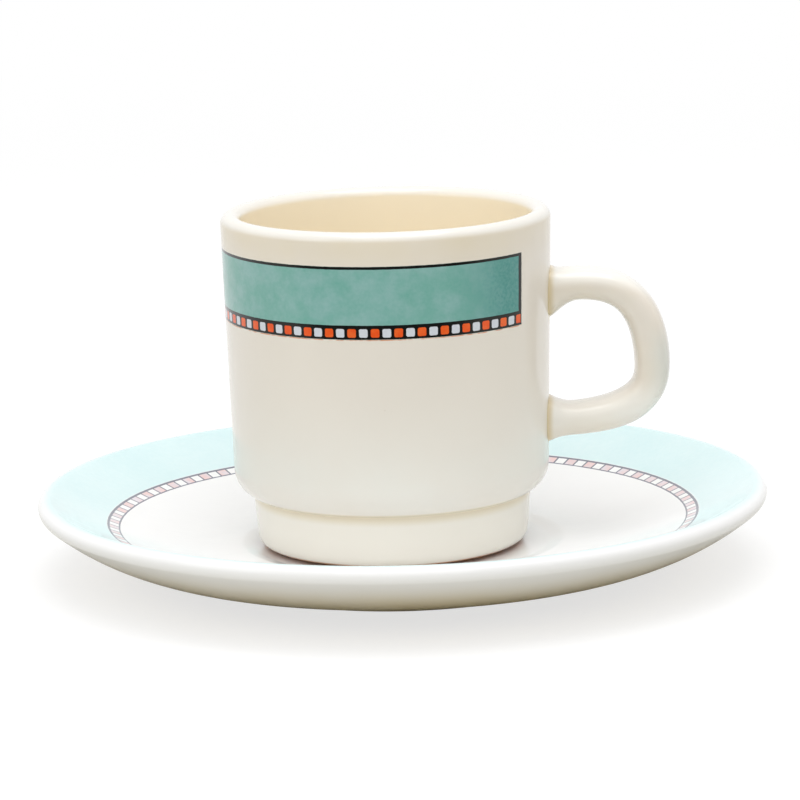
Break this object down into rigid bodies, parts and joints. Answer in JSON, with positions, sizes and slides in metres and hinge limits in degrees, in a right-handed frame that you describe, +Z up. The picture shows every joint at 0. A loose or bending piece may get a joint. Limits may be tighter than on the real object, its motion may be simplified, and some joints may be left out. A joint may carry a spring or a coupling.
{
  "type": "coffee cup with saucer",
  "caption": "Straight-sided coffee cup with a stepped stacking foot and a loop handle, standing loose in the well of a round saucer.",
  "frame": {"origin": "on the table, under the middle of the saucer", "axes": "+Z up, +X towards the cup's handle"},
  "size_m": [0.1466, 0.1466, 0.0731],
  "materials": {
    "saucer_glaze": "gloss white glaze with a pale aqua rim band",
    "cup_glaze": "gloss cream glaze with a teal band"
  },
  "bodies": {
    "saucer": {"saucer": "saucer_glaze"},
    "cup": {"cup_body": "cup_glaze", "cup_handle": "cup_glaze"}
  },
  "joints": [
    {"name": "cup_lift", "type": "slide", "parent": "saucer", "child": "cup", "axis": [0, 0, 1], "range_m": [0, 0.1]}
  ]
}
